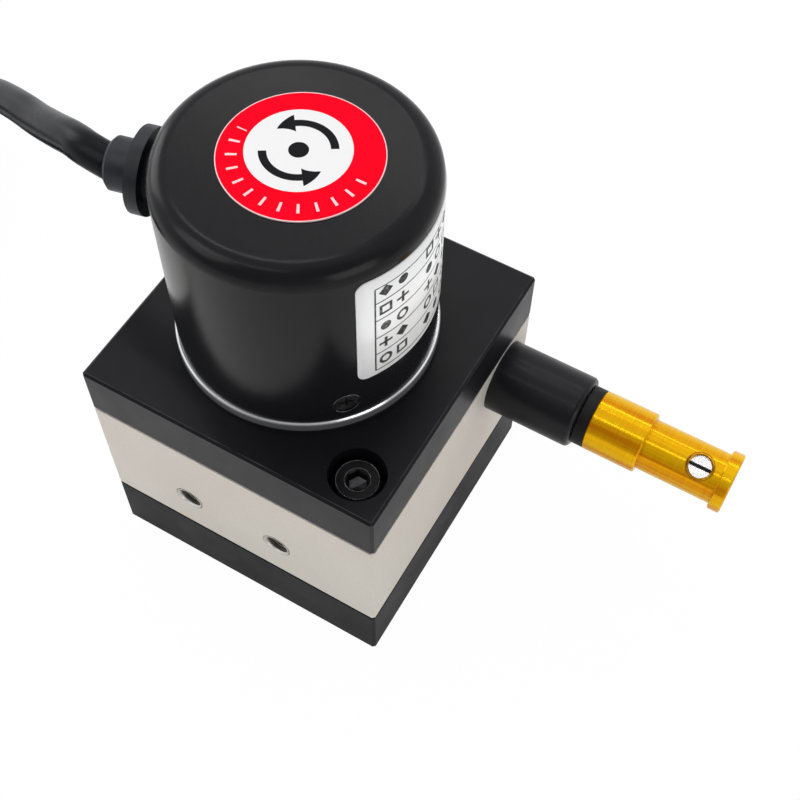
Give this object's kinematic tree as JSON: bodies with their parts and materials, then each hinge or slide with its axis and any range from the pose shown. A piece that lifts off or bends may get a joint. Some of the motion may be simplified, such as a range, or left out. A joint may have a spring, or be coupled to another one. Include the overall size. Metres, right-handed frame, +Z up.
{
  "type": "draw wire encoder",
  "caption": "Square wire drum housing with a round encoder on top, a cable at its side and a sprung draw wire that ends in a necked fitting.",
  "frame": {"origin": "middle of the square base plate's underside, on the surface that the encoder stands on", "axes": "+Z up along the drum's axis, +X the way the wire is drawn out, -Y out of the face with the two tapped side holes"},
  "size_m": [0.2246, 0.0774, 0.0817],
  "materials": {
    "black_anodised": "satin black anodised",
    "bare_aluminium": "fine bead-blasted, clear anodised",
    "rim_aluminium": "turned",
    "gold_anodised": "glossy gold anodised, turned",
    "black_outlet": "satin black plastic",
    "black_cap": "matt black powder coat",
    "black_steel": "black oxide",
    "bright_steel": "bright",
    "spring_steel": "blued strip",
    "wire_steel": "stainless rope",
    "brass": "turned brass",
    "copper_sleeve": "crimped copper",
    "black_rubber": "matt rubber",
    "felt": "felt",
    "ceramic": "glazed ceramic",
    "board": "solder mask",
    "chip": "moulded",
    "disc_glass": "glass code disc",
    "red_label": "printed film",
    "white_label": "printed film",
    "cable_jacket": "matt PVC jacket",
    "lead_colours": "coloured cores"
  },
  "bodies": {
    "housing": {"base_plate": "black_anodised", "power_spring": "spring_steel", "spring_cover": "bright_steel", "drum_housing": "bare_aluminium", "bearing_outer_rings": "bright_steel", "bearing_balls": "bright_steel", "cover_plate": "black_anodised", "housing_screws": "black_steel", "base_screws": "black_steel", "wire_outlet": "black_outlet", "wiper_felt": "felt", "wire_guide": "ceramic", "encoder_flange": "rim_aluminium", "flange_screws": "bright_steel", "cap_seal": "black_rubber", "optical_head": "chip", "board_pillars": "brass", "circuit_board": "board", "board_screws": "bright_steel", "board_parts": "chip", "encoder_cap": "black_cap", "cap_screws": "black_steel", "round_sticker": "red_label", "side_label": "white_label", "cable_gland": "black_rubber", "gland_nut": "black_rubber", "cable_inner_end": "cable_jacket", "inner_leads": "lead_colours", "cable": "cable_jacket", "cable_coil": "cable_jacket", "coil_tie": "cable_jacket", "cable_tail": "cable_jacket", "lead_sleeve": "cable_jacket", "flying_leads": "lead_colours"},
    "drum": {"spring_arbor": "brass", "bearing_inner_rings": "bright_steel", "main_shaft": "bright_steel", "retaining_ring": "black_steel", "wire_drum": "bare_aluminium", "drum_set_screw": "black_steel", "wound_wire": "wire_steel", "drum_spacer": "bright_steel", "disc_hub": "brass", "code_disc": "disc_glass"},
    "wire_end": {"draw_wire": "wire_steel", "buffer_ring": "black_rubber", "wire_end_fitting": "gold_anodised", "wire_ferrule": "copper_sleeve", "clamp_screw": "bright_steel"}
  },
  "joints": [
    {"name": "wire_pull", "type": "slide", "parent": "housing", "child": "wire_end", "axis": [1, 0, 0], "range_m": [0, 1], "stiffness_N_per_m": 4, "springref_m": -1, "deforming": ["draw_wire"]},
    {"name": "drum_spin", "type": "hinge", "parent": "housing", "child": "drum", "pos_m": [-0.001, 0, 0.02975], "axis": [0, 0, 1], "range_deg": [-3600, 0], "deforming": ["power_spring"]}
  ],
  "couplings": [
    {"joint": "drum_spin", "follows": "wire_pull", "rad_per_m": -62.832}
  ]
}
